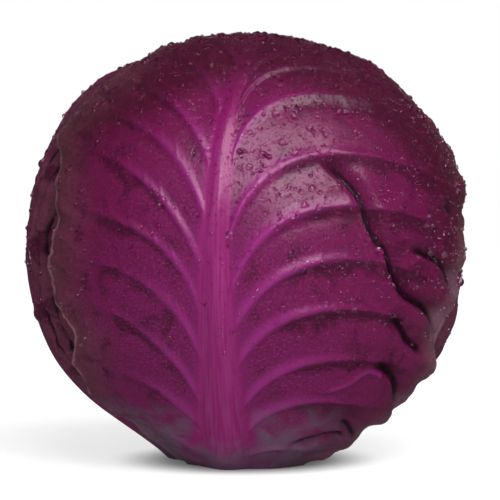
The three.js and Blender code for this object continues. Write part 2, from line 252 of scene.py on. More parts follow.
@dataclass
class Leaf:
    """One wrapper leaf on its own flat plane, with what its blade does.

    A vein is (height where it leaves the midrib, the way it leaves, its bearing on the outline, the way it
    arrives), with both ways in degrees above the outward horizontal.
    """

    name: str
    azimuth: float
    elevation: float
    outline: list[tuple[float, float]]
    midrib: list[tuple[float, float]]
    rib_half_width: list[tuple[float, float]]
    rib_height: list[tuple[float, float]]
    veins: dict[Side, list[tuple[float, float, float, float]]]
    frill: float
    frill_phase: float
    flare: float
    room: float
    creases: list[Crease]
    rows_per_vein: int
    blade_columns: dict[Side, int]
    rib_columns: int
    panel_step: dict[Side, float] = field(default_factory=lambda: {Side.LEFT: 0.75, Side.RIGHT: 1.5})
    vein_tint: dict[Side, float] = field(default_factory=lambda: {Side.LEFT: 0.6, Side.RIGHT: 0.75})
    vein_spread: dict[Side, float] = field(default_factory=lambda: {Side.LEFT: 1.2, Side.RIGHT: 1.0})
    dullness: float = 0.0
    crumple: float = 0.35
    wrinkle: float = 0.0

    def __post_init__(self) -> None:
        """Makes the tables ready to be asked, and works out the leaf's own directions."""
        a, e = self.azimuth * DEGREE, self.elevation * DEGREE
        self.reach = ClosedOutline(self.outline)
        self.rib_x = SmoothCurve(self.midrib)
        self.rib_half = SmoothCurve(self.rib_half_width)
        self.rib_rise = SmoothCurve(self.rib_height)
        self.vein_curves = {
            side: [SmoothCurve([(row, vein[i]) for row, vein in enumerate(veins)]) for i in range(4)]
            for side, veins in self.veins.items()
        }
        self.last_row = len(self.veins[Side.LEFT]) - 1
        self.out = np.array([math.sin(a) * math.cos(e), -math.cos(a) * math.cos(e), math.sin(e)])
        self.across = np.array([math.cos(a), math.sin(a), 0.0])
        self.up = np.array([-math.sin(a) * math.sin(e), math.cos(a) * math.sin(e), math.cos(e)])

    def wrap(self, x: Array, y: Array) -> Array:
        """The directions from the head's middle to points of the flat leaf."""
        far = np.hypot(x, y)
        angle = far / HEAD.radius
        share = np.where(far > 1e-6, np.sin(angle) / np.maximum(far, 1e-6), 1 / HEAD.radius)
        return (
            np.cos(angle)[..., None] * self.out
            + (x * share)[..., None] * self.across
            + (y * share)[..., None] * self.up
        )

    def beyond_outline(self, direction: Array) -> Array:
        """How far directions lie outside the outline, in arc mm. Inside is negative."""
        angle = np.arccos(np.clip(direction @ self.out, -1, 1))
        bearing = np.arctan2(direction @ self.up, direction @ self.across) / DEGREE
        return angle * HEAD.radius - self.reach(bearing)

    def blade_point(self, side: Side, t: Array, w: Array) -> tuple[Array, Array]:
        """Points of one half's blade on the flat leaf.

        Args:
            side: which half.
            t: the row, counted in veins from the base.
            w: 0 at the midrib's edge to 1 at the margin.

        Returns:
            x and y in mm.
        """
        rise, leaves, bearing, arrives = [curve(t) for curve in self.vein_curves[side]]
        start_x = self.rib_x(rise) + side.value * self.rib_half(rise)
        torn = 0.3 * np.sin(61 * bearing * DEGREE + self.frill_phase) + 0.2 * np.sin(137 * bearing * DEGREE)
        reach = self.reach(bearing) + self.frill * frill_wave(bearing, self.frill_phase) + torn
        end_x, end_y = reach * np.cos(bearing * DEGREE), reach * np.sin(bearing * DEGREE)
        handle = HANDLE * np.hypot(end_x - start_x, end_y - rise)
        first_x = start_x + handle * side.value * np.cos(leaves * DEGREE)
        first_y = rise + handle * np.sin(leaves * DEGREE)
        second_x = end_x - handle * side.value * np.cos(arrives * DEGREE)
        second_y = end_y - handle * np.sin(arrives * DEGREE)
        v = 1 - w
        shares = (v**3, 3 * v * v * w, 3 * v * w * w, w**3)
        x = sum(a * b for a, b in zip(shares, (start_x, first_x, second_x, end_x)))
        y = sum(a * b for a, b in zip(shares, (rise, first_y, second_y, end_y)))
        return x, y


def wrapper_leaf(
    name: str, azimuth: float, elevation: float, tip: float, side: float, lean: float, phase: float,
    rows_per_vein: int, columns: int, creases: list[Crease] | None = None, wrinkle: float = 0.25,
) -> Leaf:
    """A wrapper leaf of the habit that they share.

    Args:
        name: the node that it replaces.
        azimuth: where its middle faces, in degrees.
        elevation: how far its middle is above level, in degrees.
        tip: its reach up to the tip, in mm.
        side: its reach to either side, in mm.
        lean: how far its tip leans over, in mm.
        phase: sets its margin's waves apart from its neighbours'.
        rows_per_vein: the fineness of its grid along the midrib.
        columns: the fineness of each half.
        creases: its folds.
        wrinkle: the height of its long wrinkles, in mm.

    Returns:
        The leaf.
    """
    stem_angle = 11.5
    base = HEAD.radius * (90 + elevation - stem_angle) * DEGREE

    def reach_at(angle: float) -> float:
        """The outline's reach at a bearing."""
        up = math.sin(angle * DEGREE)
        rounded = side + ((base if up < 0 else tip) - side) * abs(up) ** 2.4
        return rounded + 2.2 * math.cos(angle * DEGREE) ** 2 * math.sin(3 * angle * DEGREE + phase)

    habit = (
        (0, 10, -84, -10), (0.05, 25, -70, -15), (0.12, 45, -52, -12), (0.2, 55, -32, -5), (0.29, 60, -12, 0),
        (0.39, 62, 8, 8), (0.5, 63, 27, 18), (0.62, 64, 45, 30), (0.75, 66, 62, 45), (0.88, 70, 77, 62),
        (1, 80, 87, 80),
    )
    rise = [-base + 1 + (tip + base - 2) * share for share, *_ in habit]
    bend = [lean * float(smoothstep(-base, tip, np.array(h))) for h in (-base, -base / 2, 0, tip / 2, tip)]
    return Leaf(
        name=name,
        azimuth=azimuth,
        elevation=elevation,
        outline=[(angle, reach_at(angle)) for angle in range(-90, 270, 15)],
        midrib=list(zip((-base, -base / 2, 0, tip / 2, tip), bend)),
        rib_half_width=[(-base, 11), (-base * 0.7, 8), (-base * 0.3, 5.5), (tip * 0.4, 3.5), (tip, 1)],
        rib_height=[(-base, 1.5), (-base * 0.8, 3), (-base * 0.3, 1.9), (tip * 0.4, 1), (tip, 0.2)],
        veins={
            Side.LEFT: [(h, v[1], 180 - v[2], v[3]) for h, v in zip(rise, habit)],
            Side.RIGHT: [(h, v[1], v[2], v[3]) for h, v in zip(rise, habit)],
        },
        frill=1.5,
        frill_phase=phase,
        flare=0.8,
        room=0.6,
        creases=creases or [],
        rows_per_vein=rows_per_vein,
        blade_columns={Side.LEFT: columns, Side.RIGHT: columns},
        rib_columns=8,
        panel_step={Side.LEFT: 0.8, Side.RIGHT: 0.8},
        vein_tint={Side.LEFT: 0.8, Side.RIGHT: 0.8},
        dullness=0.5 + 0.35 * wrinkle,
        wrinkle=wrinkle,
    )


FRONT_LEAF = Leaf(
    name="leaf_1_front",
    azimuth=0,
    elevation=4,
    outline=[
        (-90, 115), (-84, 116), (-76, 112), (-66, 115), (-50, 116), (-38, 113), (-30, 105), (-22, 94),
        (-12, 106), (0, 111), (14, 118), (30, 122), (50, 128), (70, 136), (90, 140), (108, 133), (118, 119),
        (126, 107), (136, 102), (144, 104), (152, 95), (163, 85), (172, 80), (184, 85), (198, 83), (208, 82),
        (216, 93), (224, 106), (236, 104), (246, 110), (256, 115), (264, 116),
    ],
    midrib=[
        (-115, -9), (-60, -10), (0, -11), (20, -10), (40, -8.5), (60, -5.5), (75, -2), (90, 1.5), (140, 6),
    ],
    rib_half_width=[
        (-115, 14), (-100, 12.5), (-80, 9.8), (-62, 8), (-40, 6.4), (0, 4.9), (40, 4), (70, 3), (140, 1),
    ],
    rib_height=[(-115, 2.6), (-100, 3.6), (-62, 2.6), (-20, 1.9), (40, 1.2), (90, 0.6), (140, 0.2)],
    veins={
        Side.LEFT: [
            (-114, 10, 256, -10), (-104, 20, 247, -20), (-92, 40, 235, -15), (-72, 57, 213, -6),
            (-58, 70, 193, 0), (-39, 76, 180, 8), (-21, 75, 165, 18), (-4, 66, 149, 24), (14, 72, 138, 30),
            (33, 70, 127, 38), (56, 72, 115, 45), (80, 75, 105, 60), (105, 78, 98, 70), (139, 80, 92, 80),
        ],
        Side.RIGHT: [
            (-114, 10, -84, -10), (-104, 15, -76, -15), (-92, 35, -64, -25), (-75, 66, -48, -45),
            (-62, 67, -35, -35), (-43, 66, -24, -30), (-28, 64, -13, -28), (-14, 72, 1, -15),
            (4, 76, 12, -12), (33, 76, 24, -12), (54, 76, 38, 0), (72, 65, 53, 15), (100, 70, 70, 40),
            (139, 80, 87, 80),
        ],
    },
    frill=1.6,
    frill_phase=0.7,
    flare=1.2,
    room=4.2,
    creases=[
        Crease(3.9, 2.4, (
            (24, 37), (30, 33), (35, 29), (40, 24), (44, 18), (48, 7), (54, 0), (58, -9), (63, -17),
            (71, -22), (79, -27), (84, -38),
        ), 0.7, 0.22),
        Crease(2.6, 2.4, ((60, 2), (72, -1), (84, -5), (93, -11), (99, -24)), 0.3),
        Crease(2.4, 2.2, ((84, 20), (93, 18), (99, 11), (105, 3)), 0.3),
        Crease(2.6, 2.4, ((54, -26), (62, -30), (68, -38), (78, -46)), 0.4),
        Crease(3.0, 2.4, ((48, -47), (58, -50), (66, -58), (72, -70), (76, -84)), 0.6),
        Crease(2.0, 2.0, ((40, -73), (47, -82), (54, -94)), 0.3),
        Crease(2.8, 2.4, ((16, -88), (28, -86), (38, -86), (47, -91)), 0.4),
        Crease(-1.3, 1.5, ((23, -55), (32, -55), (41, -53), (49, -49), (58, -53)), 0.0),
    ],
    rows_per_vein=24,
    blade_columns={Side.LEFT: 96, Side.RIGHT: 128},
    rib_columns=16,
)

# Outermost first. Each next leaf grows about three eighths of a turn further round the stem.
LEAVES = [
    FRONT_LEAF,
    wrapper_leaf("leaf_2", 131, 6, 127, 90, 6, 1.1, 20, 76),
    wrapper_leaf("leaf_3", -94, 4, 122, 88, -5, 2.6, 20, 76, [
        Crease(2.8, 2.2, (
            (52, 74), (45, 60), (43, 46), (38, 30), (39, 14), (36, 0), (39, -14), (38, -30), (43, -50),
            (50, -74),
        ), 0.9, 0.1),
        Crease(2.2, 1.8, (
            (42, 62), (35, 44), (32, 28), (28, 10), (31, -6), (30, -24), (36, -48), (43, -70),
        ), 0.8, 0.1),
        Crease(1.7, 1.6, ((26, 52), (20, 30), (22, 8), (19, -12), (23, -30), (27, -44)), 0.6, 0.1),
    ], 0.75),
    wrapper_leaf("leaf_4", 46, 8, 121, 92, 4, 3.9, 12, 48),
    wrapper_leaf("leaf_5", 184, 5, 126, 90, -4, 5.2, 12, 48),
    wrapper_leaf("leaf_6", -41, 8, 119, 90, 5, 0.3, 12, 48),
]


def sink_under(leaves: list[Leaf], direction: Array) -> Array:
    """How deep some leaves push down what lies under them, in mm."""
    depth = np.zeros(direction.shape[:-1])
    for leaf in leaves:
        beyond = leaf.beyond_outline(direction)
        depth += (BLADE + GAP) * fade(0, SINK_FADE, beyond)
        depth += leaf.room * fade(-ROOM_FADE, 0, beyond)
    return depth


def showing(leaves: list[Leaf], direction: Array) -> Array:
    """1 where none of some leaves covers a direction, falling to 0 under them."""
    share = np.ones(direction.shape[:-1])
    for leaf in leaves:
        share = share * smoothstep(0, SHOW_FADE, leaf.beyond_outline(direction))
    return share


def lowest_nearby(heights: Array, reach: int) -> Array:
    """The lowest height up to reach rows and columns away, so that a coarser face stays under them."""
    low = heights
    for axis in (0, 1):
        count = low.shape[axis]
        shifts = [np.clip(np.arange(count) + step, 0, count - 1) for step in range(-reach, reach + 1)]
        low = np.min([np.take(low, shift, axis=axis) for shift in shifts], axis=0)
    return low


def linear_colour(code: str) -> tuple[float, float, float, float]:
    """A linear colour from an sRGB hex value such as #64204c."""
    parts = [int(code[i : i + 2], 16) / 255 for i in (1, 3, 5)]
    return (*(c / 12.92 if c <= 0.04045 else ((c + 0.055) / 1.055) ** 2.4 for c in parts), 1.0)


def add_node(
    tree: Tree, kind: str, inputs: dict | None = None, out: str | int = 0, **settings: object
) -> Socket | None:
    """Adds one node.

    Args:
        tree: the material's nodes.
        kind: the node's type.
        inputs: constants, and sockets that feed it, by socket name or number. None leaves a socket as it is.
        out: the output that is wanted.
        settings: its own properties.

    Returns:
        The output's socket, if the node has any.
    """
    node = tree.nodes.new(kind)
    for name, value in settings.items():
        setattr(node, name, value)
    for name, value in (inputs or {}).items():
        if isinstance(value, Socket):
            tree.links.new(value, node.inputs[name])
        elif value is not None:
            node.inputs[name].default_value = value
    return node.outputs[out] if node.outputs else None


def paint_coat(
    tree: Tree, ground: Socket, mask: Socket, colour: str
) -> Socket:
    """Lays an sRGB hex colour over a ground through a mask, and gives the new colour's socket."""
    inputs = {0: mask, 6: ground, 7: linear_colour(colour)}
    return add_node(tree, "ShaderNodeMix", inputs, 2, data_type="RGBA", clamp_factor=True)


@dataclass(frozen=True)
class Finish:
    """A material of nodes."""

    name: str

    def shader(self, tree: Tree) -> Socket:
        """Adds the finish's own nodes and gives its shader's socket."""
        raise NotImplementedError

    def build(self) -> Material:
        """Makes the material."""
        material = bpy.data.materials.new(self.name)
        material.use_nodes = True
        tree = material.node_tree
        tree.nodes.clear()
        add_node(tree, "ShaderNodeOutputMaterial", {"Surface": self.shader(tree)})
        return material


@dataclass(frozen=True)
class WaxyLeafSkin(Finish):
    """Red cabbage leaf: a dark cell layer full of purple sap under a thin wax, wet all over.

    The wax and the film of water give a clear half-gloss, dulled where the wax is thick and grey.
    Its colour also holds painted shade in the folds, below the vein steps, beside the margins above and on
    the head's top and rim, and a painted highlight along the lit margins.
    """

    name: str = "waxy_red_cabbage_leaf"
    blade_near_rib: str = "#560a3e"
    blade_middle: str = "#520b36"
    blade_outer_and_shaded: str = "#35081b"
    # Dark for the random mottle and for the painted shade below each vein's step.
    mottle_and_shade_dark: str = "#30061b"
    mottle_warm: str = "#560a2c"
    speck: str = "#7a3058"
    vein: str = "#781e63"
    flank: str = "#641452"
    rib: str = "#6c0f4e"
    rib_streak: str = "#83396f"
    # Pale for the margin's own pale band and for the painted highlight along its lit edge.
    margin: str = "#7d5a62"
    dull: str = "#48282e"
    # The colour of the painted shade in the folds and in the gaps beside the margins above.
    hollow: str = "#10010a"
    bloom: str = "#5b475c"
    shine: str = "#ffdcec"
    roughness: float = 0.29
    bloom_roughness: float = 0.55
    bloom_full: float = 0.6
    mottle_mm: float = 11.0
    cell_mm: float = 5.0
    grain_mm: float = 0.9
    streak_mm: float = 20 / 11
    string_mm: float = 1.0

    def shader(self, tree: Tree) -> Socket:
        """Adds the skin's nodes. They read the leaf's own masks and its flat plane from the mesh.

        Args:
            tree: the material's nodes.

        Returns:
            The shader's socket.
        """
        source = {
            name: add_node(tree, "ShaderNodeAttribute", out="Fac", attribute_name=name)
            for name in ("outward", "vein", "flank", "rib", "edge", "dull", "hollow", "wax", "deep")
        }
        flat, along = (
            add_node(tree, "ShaderNodeAttribute", out="Vector", attribute_name=name)
            for name in ("flat_mm", "along_mm")
        )
        for name, plane, scale_mm, detail, roughness, distortion in (
            ("mottle", flat, self.mottle_mm, 5.0, 0.62, 0.6),
            ("grain", flat, self.grain_mm, 4.0, 0.6, 0.0),
            ("streak", along, self.streak_mm, 3.0, 0.55, 0.0),
            ("string", along, self.string_mm, 3.0, 0.5, 0.0),
        ):
            inputs = {"Vector": plane, "Scale": 1 / scale_mm, "Detail": detail, "Roughness": roughness}
            source[name] = add_node(tree, "ShaderNodeTexNoise", {**inputs, "Distortion": distortion})
        source["cells"] = add_node(
            tree, "ShaderNodeTexVoronoi", {"Vector": flat, "Scale": 1 / self.cell_mm, "Randomness": 0.9},
            feature="DISTANCE_TO_EDGE",
        )
        # Each is the first times the second, plus the third.
        for name, *terms in (
            ("outward", "mottle", -0.25, "outward"),
            # deep is painted shade on the steep drop below each vein, broken by the random mottle.
            ("deep", "deep", 0.27, "mottle"),
            ("speck", "outward", 0.16, "grain"),
            ("edge", "edge", "grain", 0.0),
            ("string", "rib", "string", 0.0),
            ("wax", "wax", "mottle", 0.0),
        ):
            inputs = {i: source.get(term, term) for i, term in enumerate(terms)}
            source[name] = add_node(tree, "ShaderNodeMath", inputs, operation="MULTIPLY_ADD")
        # The ground colour darkens outward: the blade's own tone, with painted shade on the head's top and
        # rim.
        colour = add_node(tree, "ShaderNodeValToRGB", {"Fac": source["outward"]})
        ramp = colour.node.color_ramp
        ramp.interpolation = "EASE"
        ramp.elements[0].position, ramp.elements[0].color = 0.0, linear_colour(self.blade_near_rib)
        ramp.elements[1].position, ramp.elements[1].color = 0.95, linear_colour(self.blade_outer_and_shaded)
        ramp.elements.new(0.4).color = linear_colour(self.blade_middle)
        # Each coat: its source, where it starts, where it is full, how strong it is then, and its colour.
        coat = {}
        for name, low, high, strength, paint in (
            ("streak", 0.52, 0.72, 0.45, self.mottle_warm),
            ("dull", 0.0, 1.0, 0.85, self.dull),
            # Painted shade below each vein's step, with the random mottle.
            ("deep", 0.5, 0.72, 0.8, self.mottle_and_shade_dark),
            ("cells", 0.10, 0.0, 0.05, self.vein),
            ("grain", 0.5, 0.75, 0.5, self.mottle_and_shade_dark),
            ("speck", 0.52, 0.27, 0.55, self.speck),
            ("flank", 0.0, 1.0, 0.5, self.flank),
            ("vein", 0.0, 1.0, 0.9, self.vein),
            ("rib", 0.0, 1.0, 0.95, self.rib),
            ("string", 0.4, 0.8, 0.5, self.rib_streak),
            # A thin painted highlight along the lit margins, over their own pale band.
            ("edge", 0.12, 0.5, 0.7, self.margin),
            ("wax", 0.22, 0.6, 0.7, self.bloom),
            # Painted shade in the folds and in the narrow gaps beside the margins of the leaves above.
            ("hollow", 0.1, 1.0, 0.93, self.hollow),
        ):
            coat[name] = add_node(
                tree, "ShaderNodeMapRange",
                {"Value": source[name], "From Min": low, "From Max": high, "To Max": strength},
                interpolation_type="LINEAR" if name == "string" else "SMOOTHSTEP",
            )
            colour = paint_coat(tree, colour, coat[name], paint)
        roughness = add_node(tree, "ShaderNodeMapRange", {
            "Value": coat["wax"], "From Max": self.bloom_full,
            "To Min": self.roughness, "To Max": self.bloom_roughness,
        })
        normal = None
        for height, strength, height_mm in (
            (coat["cells"], 0.25, 1.2), (source["streak"], 0.3, 0.3), (source["grain"], 0.6, 0.18)
        ):
            inputs = {"Strength": strength, "Distance": height_mm * MM, "Height": height, "Normal": normal}
            normal = add_node(tree, "ShaderNodeBump", inputs)
        return add_node(tree, "ShaderNodeBsdfPrincipled", {
            "Base Color": colour, "Roughness": roughness, "Normal": normal, "Coat Normal": normal,
            "IOR": 1.4, "Coat Weight": 0.25, "Coat Roughness": 0.1, "Coat IOR": 1.35,
            "Specular Tint": linear_colour(self.shine),
        })


@dataclass(frozen=True)
class CutStemFlesh(Finish):
    """Cabbage stem: pale wet pith, cut with a knife, browned in rings where it has dried."""

    name: str = "cut_cabbage_stem"
    pith: str = "#cdbfa6"
    fibre: str = "#a98f74"
    rind: str = "#8b5a6c"
    ring_mm: float = 15.0
    speckle_mm: float = 1.5

    def shader(self, tree: Tree) -> Socket:
        """Adds the flesh's nodes, laid out by the piece's own coordinates, and gives its shader's socket."""
        place = add_node(tree, "ShaderNodeTexCoord", out="Object")
        rings = add_node(
            tree, "ShaderNodeTexWave",
            {"Vector": place, "Scale": 1 / (self.ring_mm * MM), "Distortion": 3.0, "Detail": 3.0}, "Fac",
            wave_type="RINGS", rings_direction="Z",
        )
        speckle = add_node(
            tree, "ShaderNodeTexNoise", {"Vector": place, "Scale": 1 / (self.speckle_mm * MM), "Detail": 4.0}
        )
        colour = add_node(tree, "ShaderNodeValToRGB", {"Fac": speckle})
        ends = colour.node.color_ramp.elements
        ends[0].position, ends[0].color = 0.35, linear_colour(self.fibre)
        ends[1].position, ends[1].color = 0.6, linear_colour(self.pith)
        browned = add_node(
            tree, "ShaderNodeMapRange", {"Value": rings, "From Min": 0.5, "From Max": 1.0, "To Max": 0.5}
        )
        colour = paint_coat(tree, colour, browned, self.fibre)
        rind = add_node(tree, "ShaderNodeAttribute", out="Fac", attribute_name="rind")
        colour = paint_coat(tree, colour, rind, self.rind)
        bump = add_node(tree, "ShaderNodeBump", {"Strength": 0.5, "Distance": 0.3 * MM, "Height": speckle})
        inputs = {"Base Color": colour, "Roughness": 0.6, "IOR": 1.4, "Normal": bump}
        return add_node(tree, "ShaderNodeBsdfPrincipled", inputs)


@dataclass(frozen=True)
class Water(Finish):
    """Clear water in beads: it bends what is under it and keeps a small sharp light."""

    name: str = "water_bead"
    body: str = "#e4cedf"
    shine: str = "#ecc0e0"
    shade: str = "#ffe7f9"

    def shader(self, tree: Tree) -> Socket:
        """Adds the water's nodes and gives its shader's socket."""
        bead = add_node(tree, "ShaderNodeBsdfPrincipled", {
            "Base Color": linear_colour(self.body), "Specular Tint": linear_colour(self.shine),
            "Roughness": 0.03, "IOR": 1.333, "Transmission Weight": 1.0,
        })
        # Light goes on through a bead to the leaf, a little tinted.
        clear = add_node(tree, "ShaderNodeBsdfTransparent", {"Color": linear_colour(self.shade)})
        in_shade = add_node(tree, "ShaderNodeLightPath", out="Is Shadow Ray")
        return add_node(tree, "ShaderNodeMixShader", {0: in_shade, 1: bead, 2: clear})


@dataclass(frozen=True)
class StudioPaper(Finish):
    """Matt white background paper that glows evenly, as a light table does, with a painted contact shadow
    where its glow falls away under the head.
    """

    name: str = "white_studio_paper"
    colour: str = "#a6a6a6"
    glow: float = 0.72
    glow_in_painted_shadow: float = 0.1
    painted_shadow_mm: float = 24.0
    lit_mm: float = 52.0
    grain_mm: float = 2.5

    def shader(self, tree: Tree) -> Socket:
        """Adds the paper's nodes and gives its shader's socket."""
        grain = add_node(tree, "ShaderNodeTexNoise", {"Scale": 1 / (self.grain_mm * MM), "Detail": 2.0})
        bump = add_node(tree, "ShaderNodeBump", {"Strength": 0.05, "Distance": 0.1 * MM, "Height": grain})
        place = add_node(tree, "ShaderNodeTexCoord", out="Object")
        far = add_node(tree, "ShaderNodeVectorMath", {0: place}, "Value", operation="LENGTH")
        # The glow falls away towards the head's foot: a painted contact shadow.
        lit = add_node(
            tree, "ShaderNodeMapRange",
            {
                "Value": far, "From Min": self.painted_shadow_mm * MM, "From Max": self.lit_mm * MM,
                "To Min": self.glow_in_painted_shadow, "To Max": self.glow,
            },
            interpolation_type="SMOOTHSTEP",
        )
        return add_node(tree, "ShaderNodeBsdfPrincipled", {
            "Base Color": linear_colour(self.colour), "Roughness": 0.9, "Normal": bump,
            "Emission Color": linear_colour("#ffffff"), "Emission Strength": lit,
        })


def put_in_scene(name: str, data: bpy.types.ID) -> Item:
    """Makes an object and links it into the scene."""
    item = bpy.data.objects.new(name, data)
    bpy.context.scene.collection.objects.link(item)
    return item


def mesh_object(
    name: str, points: Array, faces: list, masks: dict[str, Array], material: Material
) -> Item:
    """Makes a smooth-shaded piece from points in mm, with masks (numbers or vectors) on its vertices."""
    mesh = bpy.data.meshes.new(name)
    mesh.from_pydata((points * MM).tolist(), [], faces)
    for mask_name, values in masks.items():
        kind, channel = ("FLOAT_VECTOR", "vector") if values.ndim > 1 else ("FLOAT", "value")
        attribute = mesh.attributes.new(mask_name, kind, "POINT")
        attribute.data.foreach_set(channel, values.astype(np.float32).ravel())
    mesh.materials.append(material)
    mesh.shade_smooth()
    return put_in_scene(name, mesh)


def grid_faces(number: Array) -> Array:
    """The four-sided faces of a grid of vertex numbers."""
    corners = (number[:-1, :-1], number[:-1, 1:], number[1:, 1:], number[1:, :-1])
    return np.stack(corners, axis=-1).reshape(-1, 4)


def turned_faces(rings: int, around: int) -> list[list[int]]:
    """The faces of a closed turned shape: its lowest point, its rings from there up, then its top."""
    ring = 1 + np.arange(rings * around).reshape(rings, around)
    ring = np.concatenate([ring, ring[:, :1]], axis=1)
    top = rings * around + 1
    foot_fan = [[0, int(b), int(a)] for a, b in zip(ring[0, :-1], ring[0, 1:])]
    top_fan = [[top, int(a), int(b)] for a, b in zip(ring[-1, :-1], ring[-1, 1:])]
    return foot_fan + grid_faces(ring).tolist() + top_fan


@dataclass
class LeafGrid:
    """A leaf's faces as grids of rows along its veins, with the masks for its skin."""

    outer: Array
    inner: Array
    masks: dict[str, Array]


@dataclass
class WrapperLeaf:
    """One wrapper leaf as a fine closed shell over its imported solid. Lengths are in mm."""

    leaf: Leaf
    above: list[Leaf]
    coarse: int = 4
    arc_share: float = 1.08
    row_step: float = 0.1
    vein_height: float = 0.85
    panel_fall: float = 3.2
    bulge: float = 0.5
    branch_spacing: float = 11.0
    branch_height: float = 0.22
    ruffle: float = 0.45
    ruffle_width: float = 5.0
    edge_thickness: float = 0.45
    gap_depth: float = 1.7
    string_height: float = 0.10
    swell_height: float = 0.3
    # Up the leaf, where the skin's colour beside the rib, the rib's own colour, and the margin's waves fade.
    flank_fades: Zone = (10, 70)
    rib_fades: Zone = (25, 80)
    waves_calm: Zone = (45, 85)
    # Above the ground, where the wax fades from the blade and from the rib.
    wax_fades: Zone = (8, 38)
    foot_fades: Zone = (3, 20)
    # The widths of the margin's light edge, a painted highlight, its pale band, and its dry band on the right
    # and the left.
    edge_width: float = 1.5
    pale_width: float = 15.0
    dry_widths: Zone = (15.0, 19.0)
    outside: BVHTree | None = None

    def swell(self, x: Array, y: Array) -> Array:
        """The long soft waves of blade and rib."""
        return self.swell_height * wave_noise(x, y, 34.0, 9)

    def rib_colour(self, y: Array) -> Array:
        """How strong the rib's own colour is."""
        return 1 - 0.8 * smoothstep(*self.rib_fades, y)

    def half(self, side: Side, t: Array) -> dict[str, Array]:
        """One half's blade, from the midrib's edge to the margin.

        Args:
            side: which half.
            t: the rows, as a column.

        Returns:
            Places, waves and masks on the grid.
        """
        leaf = self.leaf
        right = side is Side.RIGHT
        vein_spread = leaf.vein_spread[side]
        t, w = np.broadcast_arrays(t, np.linspace(0, 1, leaf.blade_columns[side] + 1)[None, :])
        x, y = leaf.blade_point(side, t, w)
        length = np.hypot(x[:, -1] - x[:, 0], y[:, -1] - y[:, 0])[:, None] * self.arc_share
        below = leaf.blade_point(side, t - self.row_step, w)
        above = leaf.blade_point(side, np.minimum(t + self.row_step, leaf.last_row), w)
        spacing = np.hypot(above[0] - below[0], above[1] - below[1]) / (2 * self.row_step)
        number = np.round(t)
        active = smoothstep(0.6, 1.0, t) * fade(leaf.last_row - 0.6, leaf.last_row - 0.3, t)
        off_vein = (t - number) * spacing
        part = t - np.floor(t)
        # The surface stands highest along a vein: it drops steeply below, and sinks away above.
        fall = np.exp(-self.panel_fall * part)
        step = fall + (1 - math.exp(-self.panel_fall)) * smoothstep(0.78, 1, part) - 0.45
        step = leaf.panel_step[side] * step
        step *= smoothstep(0, 0.38, w) * fade(0.6, 1, w)
        width = (1.9 * (1 - w) + 0.6) * vein_spread
        ridge = bump_at(off_vein, width)
        height = self.vein_height * (1 - 0.85 * w) / vein_spread
        bulge = self.bulge * np.sin(math.pi * part) * smoothstep(0.05, 0.4, w) * fade(0.7, 1, w)
        uneven = (0.85 + 0.4 * wave_noise(x, y, 48.0, 12)) * (1 - 0.45 * smoothstep(45, 95, y))
        waved = active * uneven * (step + height * ridge + bulge)
        # Side branches leave each vein and fade before the next.
        along = w * length
        branch = (along - 0.8 * np.abs(off_vein)) / self.branch_spacing + 0.37 * number
        branch = np.abs(branch % 1 - 0.5) * self.branch_spacing
        twig = bump_at(branch - self.branch_spacing / 2, 0.9) * smoothstep(0.1, 0.3, w)
        twig = twig * bump_at(off_vein, 0.34 * spacing)
        waved = waved + active * self.branch_height * twig
        # The margin flares and ruffles, but less towards the tip.
        bearing = np.arctan2(y, x) / DEGREE
        from_margin = (1 - w) * length
        calm = 1 - 0.85 * smoothstep(*self.waves_calm, y)
        frilled = 1 + frill_wave(bearing * 1.3, leaf.frill_phase + 1)
        flare = leaf.flare * smoothstep(0.75, 1, w) * frilled * calm
        ruffled = np.sin(t * 9.5 + 2 * np.sin(t * 2.3 + leaf.frill_phase)) + 0.6 * wave_noise(x, y, 5.0, 31)
        ruffled = self.ruffle * ruffled * bump_at(from_margin, self.ruffle_width)
        ruffled = ruffled * calm * (0.5 if right else 1.0)
        rough = leaf.wrinkle * (0.25 + 0.75 * smoothstep(5, 35, x))
        crumple = (leaf.crumple + 0.8 * rough) * smoothstep(0.35, 0.95, w) * wave_noise(x, y, 15.0, 7)
        crumple = crumple + 0.35 * leaf.crumple * wave_noise(x, y, 6.0, 8) * smoothstep(0.55, 1, w)
        crumple = crumple + self.swell(x, y) + rough * wave_noise(2.2 * x, y, 17.0, 21)
        crumple = crumple + rough**2 * wave_noise(1.3 * x, y, 7.5, 23)
        # The insides of the folds are kept as painted shade for the skin.
        hollow, nearby, folded, raised = (np.zeros(x.shape) for _ in range(4))
        for crease in leaf.creases:
            lift, inside, near = crease.relief(x, y)
            folded = folded + lift
            hollow = np.maximum(hollow, inside)
            nearby = np.maximum(nearby, near)
            raised = np.maximum(raised, near * (crease.depth < 0))
        waved = waved * (1 - 0.8 * nearby) + flare + ruffled + crumple + folded
        # The colour runs out from a vein mostly upwards, and pales under the shoulder of the next panel.
        reach = 0.2 * vein_spread - 0.2
        tint = leaf.vein_tint[side] * active * bump_at(off_vein, np.where(off_vein > 0, 1.9, 1.0) * width)
        tint = tint * fade(0.05 + reach, 0.8 + reach, w) * (1 - 0.75 * smoothstep(30, 85, y))
